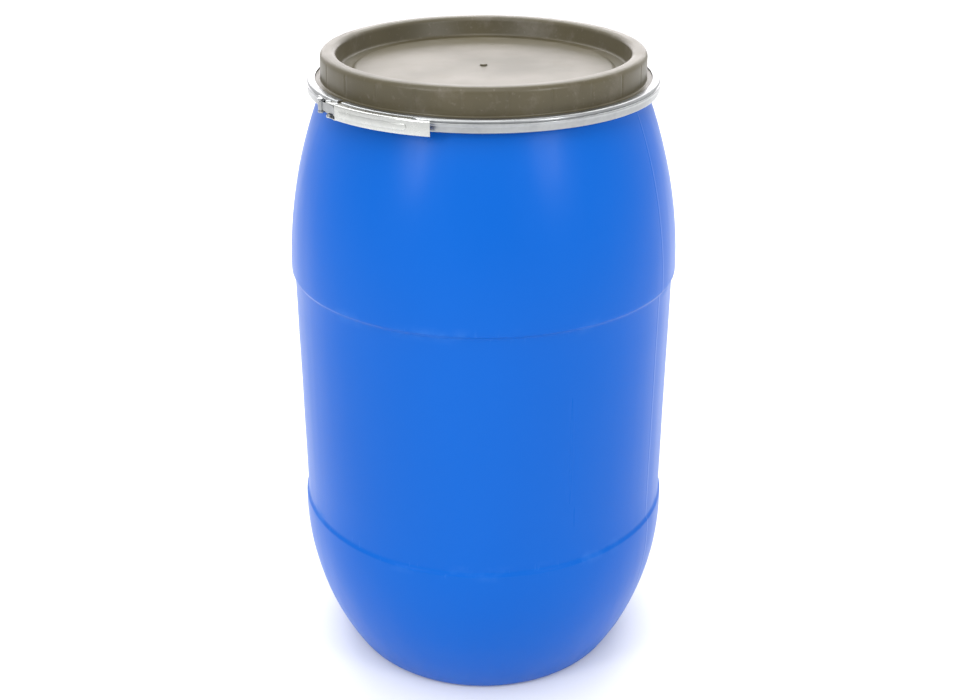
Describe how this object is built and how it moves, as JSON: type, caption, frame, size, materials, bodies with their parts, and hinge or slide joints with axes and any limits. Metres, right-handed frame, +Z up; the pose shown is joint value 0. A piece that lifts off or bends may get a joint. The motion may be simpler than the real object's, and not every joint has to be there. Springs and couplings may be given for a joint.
{
  "type": "open-top drum",
  "caption": "Upright blue plastic open-top drum with a barrel-shaped stepped body, a raised-rim lift-off lid and a galvanised lever-lock closing ring.",
  "frame": {"origin": "centre of the drum's base, on the floor it stands on", "axes": "+Z up along the drum's axis, -Y towards the front, where the lever lies to the left of centre"},
  "size_m": [0.5898, 0.5898, 0.981],
  "materials": {
    "barrel_plastic": "blow-moulded polyethylene, satin gloss",
    "lid_plastic": "injection-moulded polyethylene, satin",
    "gasket_rubber": "soft foamed rubber",
    "ring_steel": "galvanised, bright with a faint spangle",
    "rivet_steel": "zinc plated"
  },
  "bodies": {
    "barrel": {"barrel_body": "barrel_plastic"},
    "lid": {"lid": "lid_plastic", "lid_gasket": "gasket_rubber"},
    "ring_right": {"ring_band_right": "ring_steel", "fulcrum_bracket": "ring_steel", "fulcrum_bracket_rivets": "rivet_steel", "fulcrum_rivets": "rivet_steel"},
    "ring_left": {"ring_band_left": "ring_steel", "anchor_bracket": "ring_steel", "anchor_bracket_rivets": "rivet_steel", "anchor_rivet_heads": "rivet_steel"},
    "lever": {"lever": "ring_steel", "link_rivet": "rivet_steel"},
    "link": {"link_strap": "ring_steel", "anchor_pin": "rivet_steel"}
  },
  "joints": [
    {"name": "lid_lift", "type": "slide", "parent": "barrel", "child": "lid", "axis": [0, 0, 1], "range_m": [0, 0.2]},
    {"name": "ring_lift", "type": "slide", "parent": "lid", "child": "ring_right", "axis": [0, 0, 1], "range_m": [0, 0.15]},
    {"name": "lever_open", "type": "hinge", "parent": "ring_right", "child": "lever", "pos_m": [-0.20855, -0.1604, 0.93325], "axis": [0, 0, -1], "range_deg": [0, 120]},
    {"name": "link_swing", "type": "hinge", "parent": "lever", "child": "link", "pos_m": [-0.19842, -0.17278, 0.93325], "axis": [0, 0, 1], "range_deg": [0, 96.61]},
    {"name": "ring_flex", "type": "hinge", "parent": "ring_right", "child": "ring_left", "pos_m": [0.20268, 0.15835, 0.93325], "axis": [0, 0, -1], "range_deg": [0, 2.22]}
  ],
  "couplings": [
    {"joint": "link_swing", "follows": "lever_open", "ratio": 0.80505},
    {"joint": "ring_flex", "follows": "lever_open", "ratio": 0.018448}
  ]
}
